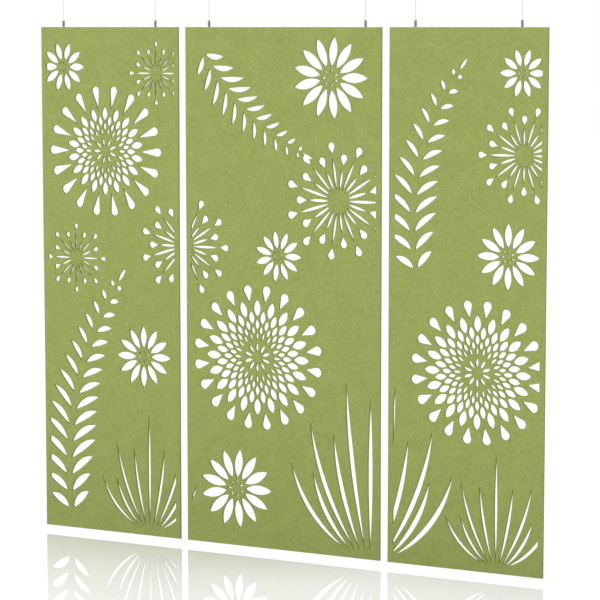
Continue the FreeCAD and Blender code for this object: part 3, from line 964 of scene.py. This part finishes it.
def polished_floor(settings):
    """Polished white floor: white to the camera, with a faint mirror image that fades away from
    the set, and a share of plain diffuse that keeps the soft shadow under the boards."""
    material, tree, output = new_material("polished_floor")
    place = add_node(tree, "ShaderNodeTexCoord").outputs["Object"]
    # How far a place lies from the line that the set stands over, past its ends too
    half_length = (cad_box[1].x - cad_box[0].x) / 2
    away = add_node(tree, "ShaderNodeVectorMath", {0: place}, operation="ABSOLUTE").outputs["Vector"]
    away = add_node(tree, "ShaderNodeVectorMath", {0: away, 1: (half_length, 0.0, 10.0)},
                    operation="SUBTRACT").outputs["Vector"]
    away = add_node(tree, "ShaderNodeVectorMath", {0: away, 1: (0.0, 0.0, 0.0)},
                    operation="MAXIMUM").outputs["Vector"]
    away = add_node(tree, "ShaderNodeVectorMath", {0: away}, operation="LENGTH").outputs["Value"]
    across = add_node(tree, "ShaderNodeSeparateXYZ", {0: place}).outputs["X"]
    beside = add_node(tree, "ShaderNodeMapRange", {
        "Value": across, "From Min": -0.3, "From Max": 0.6,
        "To Min": settings.left_gloss, "To Max": settings.right_gloss,
    }).outputs["Result"]
    polish = add_node(tree, "ShaderNodeMapRange", {
        "Value": away, "From Min": 0.1, "From Max": 1.3,
        "To Min": beside, "To Max": settings.far_gloss,
    }).outputs["Result"]
    at_a_glance = add_node(tree, "ShaderNodeFresnel", {"IOR": 2.2}).outputs["Fac"]
    gloss = add_node(tree, "ShaderNodeMath", {0: polish, 1: at_a_glance},
                     operation="MULTIPLY").outputs["Value"]
    shaded = add_node(tree, "ShaderNodeMapRange", {
        "Value": away, "From Min": 0.05, "From Max": 0.6, "To Min": 0.2, "To Max": 0.0,
    }, interpolation_type="SMOOTHSTEP").outputs["Result"]
    paint = add_node(tree, "ShaderNodeBsdfDiffuse", {"Color": linear("#FFFFFF")})
    # Painted shade: for the light it throws back up, the floor is darker near the set than it looks
    # to the camera, so the boards darken towards the floor.
    dimmed_bounce = add_node(tree, "ShaderNodeMapRange", {
        "Value": away, "From Min": 0.2, "From Max": 0.8, "To Min": 0.4, "To Max": 1.0,
    }, interpolation_type="SMOOTHSTEP").outputs["Result"]
    unseen = add_node(tree, "ShaderNodeBsdfDiffuse", {"Color": dimmed_bounce})
    glow = add_node(tree, "ShaderNodeEmission", {"Color": linear("#FFFFFF"), "Strength": 1.1})
    white = add_node(tree, "ShaderNodeMixShader", {
        "Fac": shaded, 1: glow.outputs["Emission"], 2: paint.outputs["BSDF"],
    })
    white = add_node(tree, "ShaderNodeMixShader", {
        "Fac": looked_at(tree), 1: unseen.outputs["BSDF"], 2: white.outputs["Shader"],
    })
    mirror = add_node(tree, "ShaderNodeBsdfGlossy", {"Color": linear("#FFFFFF"), "Roughness": 0.03})
    mixed = add_node(tree, "ShaderNodeMixShader", {
        "Fac": gloss, 1: white.outputs["Shader"], 2: mirror.outputs["BSDF"],
    })
    clear = add_node(tree, "ShaderNodeBsdfTransparent")
    from_below = add_node(tree, "ShaderNodeNewGeometry").outputs["Backfacing"]
    surface = add_node(tree, "ShaderNodeMixShader", {
        "Fac": from_below, 1: mixed.outputs["Shader"], 2: clear.outputs["BSDF"],
    })
    tree.links.new(surface.outputs["Shader"], output.inputs["Surface"])
    return material


def make_floor(settings):
    """A flat square floor under the boards."""
    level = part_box("centre_panel")[0].z - settings.floor_gap
    corners = np.array([(-1, -1, 0), (1, -1, 0), (1, 1, 0), (-1, 1, 0)])
    points = corners * FLOOR_REACH + (0, 0, level)
    floor = make_piece("studio_floor", points, [np.array([[0, 1, 2, 3]])])
    floor.data.materials.append(polished_floor(settings))


def make_world(settings):
    """Even room light, and plain white wherever the camera, a mirror or glass looks at it."""
    world = bpy.data.worlds.new("studio")
    world.use_nodes = True
    tree = world.node_tree
    tree.nodes.clear()
    room = add_node(tree, "ShaderNodeBackground", {
        "Color": linear("#FFFFFF"), "Strength": settings.sky,
    })
    backdrop = add_node(tree, "ShaderNodeBackground", {
        "Color": linear("#FFFFFF"), "Strength": 1.0,
    })
    mixed = add_node(tree, "ShaderNodeMixShader", {
        "Fac": looked_at(tree), 1: room.outputs["Background"], 2: backdrop.outputs["Background"],
    })
    output = add_node(tree, "ShaderNodeOutputWorld")
    tree.links.new(mixed.outputs["Shader"], output.inputs["Surface"])
    bpy.context.scene.world = world


def make_lamp(name, place, width, watts):
    """A square soft box, which the camera doesn't see."""
    lamp = bpy.data.lights.new(name, "AREA")
    lamp.shape = "SQUARE"
    lamp.size = width
    lamp.energy = watts
    holder = bpy.data.objects.new(name, lamp)
    holder.location = place
    aim = Vector(LIT_SPOT) - Vector(place)
    holder.rotation_euler = aim.to_track_quat("-Z", "Y").to_euler()
    holder.visible_camera = False
    bpy.context.scene.collection.objects.link(holder)


def make_camera(settings):
    """The camera at the photograph's viewing angle."""
    camera = bpy.data.cameras.new("camera")
    camera.lens = settings.camera_lens
    camera.sensor_width = 36.0
    camera.clip_end = 200.0
    holder = bpy.data.objects.new("camera", camera)
    holder.location = settings.camera_place
    holder.rotation_euler = (math.pi / 2 - settings.camera_pitch, 0, settings.camera_heading)
    bpy.context.scene.collection.objects.link(holder)
    bpy.context.scene.camera = holder


class ACOUSTIC_OT_stage(Operator):
    """Build the floor, the lamps, the white surround and the camera"""

    bl_idname = "acoustic_panel.stage"
    bl_label = "Studio"

    def execute(self, context):
        settings = context.scene.acoustic_stage
        make_floor(settings)
        make_world(settings)
        make_camera(settings)
        for name, lamp in LAMPS.items():
            make_lamp(name, *lamp)
        context.scene.view_settings.view_transform = "Standard"
        return {"FINISHED"}


# Sidebar

class ACOUSTIC_PT_sidebar(Panel):
    """Lists the pieces of the hanging panel, each with the button that builds it"""

    bl_label = "Hanging acoustic panel"
    bl_idname = "ACOUSTIC_PT_sidebar"
    bl_space_type = "VIEW_3D"
    bl_region_type = "UI"
    bl_category = "Acoustic panel"

    def draw(self, context):
        for operator in OPERATORS:
            self.layout.operator(operator.bl_idname)
        for group in (context.scene.acoustic_felt, context.scene.acoustic_fittings,
                      context.scene.acoustic_stage):
            box = self.layout.box()
            for name in group.__annotations__:
                box.prop(group, name)


OPERATORS = (ACOUSTIC_OT_felt_boards, ACOUSTIC_OT_cables, ACOUSTIC_OT_ceiling_fittings,
             ACOUSTIC_OT_barrels, ACOUSTIC_OT_edge_studs, ACOUSTIC_OT_stage)
CLASSES = (FeltSettings, FittingSettings, StageSettings, *OPERATORS, ACOUSTIC_PT_sidebar)


def register():
    """Register the classes and the settings of a scene."""
    for each in CLASSES:
        bpy.utils.register_class(each)
    bpy.types.Scene.acoustic_felt = PointerProperty(type=FeltSettings)
    bpy.types.Scene.acoustic_fittings = PointerProperty(type=FittingSettings)
    bpy.types.Scene.acoustic_stage = PointerProperty(type=StageSettings)


def unregister():
    """Undo register."""
    del bpy.types.Scene.acoustic_felt
    del bpy.types.Scene.acoustic_fittings
    del bpy.types.Scene.acoustic_stage
    for each in reversed(CLASSES):
        bpy.utils.unregister_class(each)


def main():
    """Build every piece and the stage."""
    register()
    bpy.ops.acoustic_panel.felt_boards()
    bpy.ops.acoustic_panel.cables()
    bpy.ops.acoustic_panel.ceiling_fittings()
    bpy.ops.acoustic_panel.barrels()
    bpy.ops.acoustic_panel.edge_studs()
    bpy.ops.acoustic_panel.stage()


if __name__ == "__main__":
    main()
